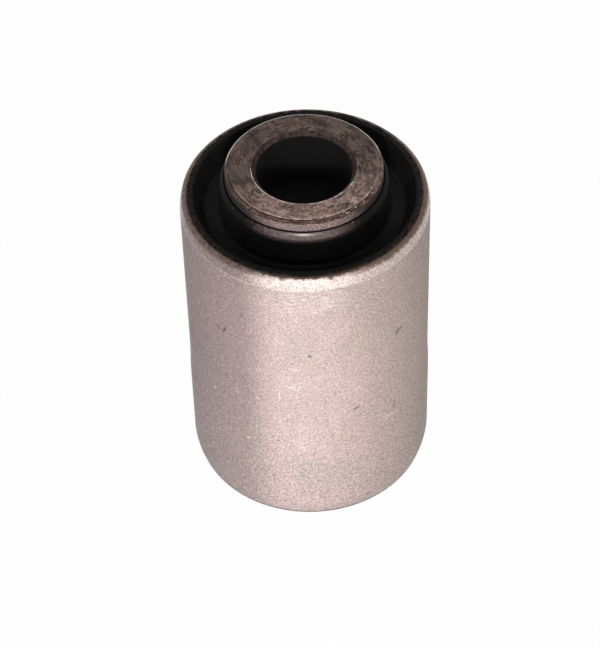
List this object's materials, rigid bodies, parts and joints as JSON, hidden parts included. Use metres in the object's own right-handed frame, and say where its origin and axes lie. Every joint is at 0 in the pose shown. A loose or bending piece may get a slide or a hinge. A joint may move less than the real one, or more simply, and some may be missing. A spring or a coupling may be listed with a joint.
{
  "type": "rubber metal bush",
  "caption": "Bonded bush: a thick steel inner tube held in a thin steel outer sleeve by a rubber moulding with a ring groove at each end.",
  "frame": {"origin": "centre of the inner tube's lower end face, on the axis", "axes": "+Z along the common axis, towards the end that enters the housing first"},
  "size_m": [0.0424, 0.0424, 0.0715],
  "materials": {
    "sleeve_steel": "blasted and phosphated, satin grey with a fine sparkle",
    "black_rubber": "moulded black rubber with a soft sheen",
    "inner_steel": "machined, stained brown with dark blotches"
  },
  "bodies": {
    "root": {"outer_sleeve": "sleeve_steel", "rubber_body": "black_rubber", "inner_sleeve": "inner_steel"}
  },
  "joints": []
}
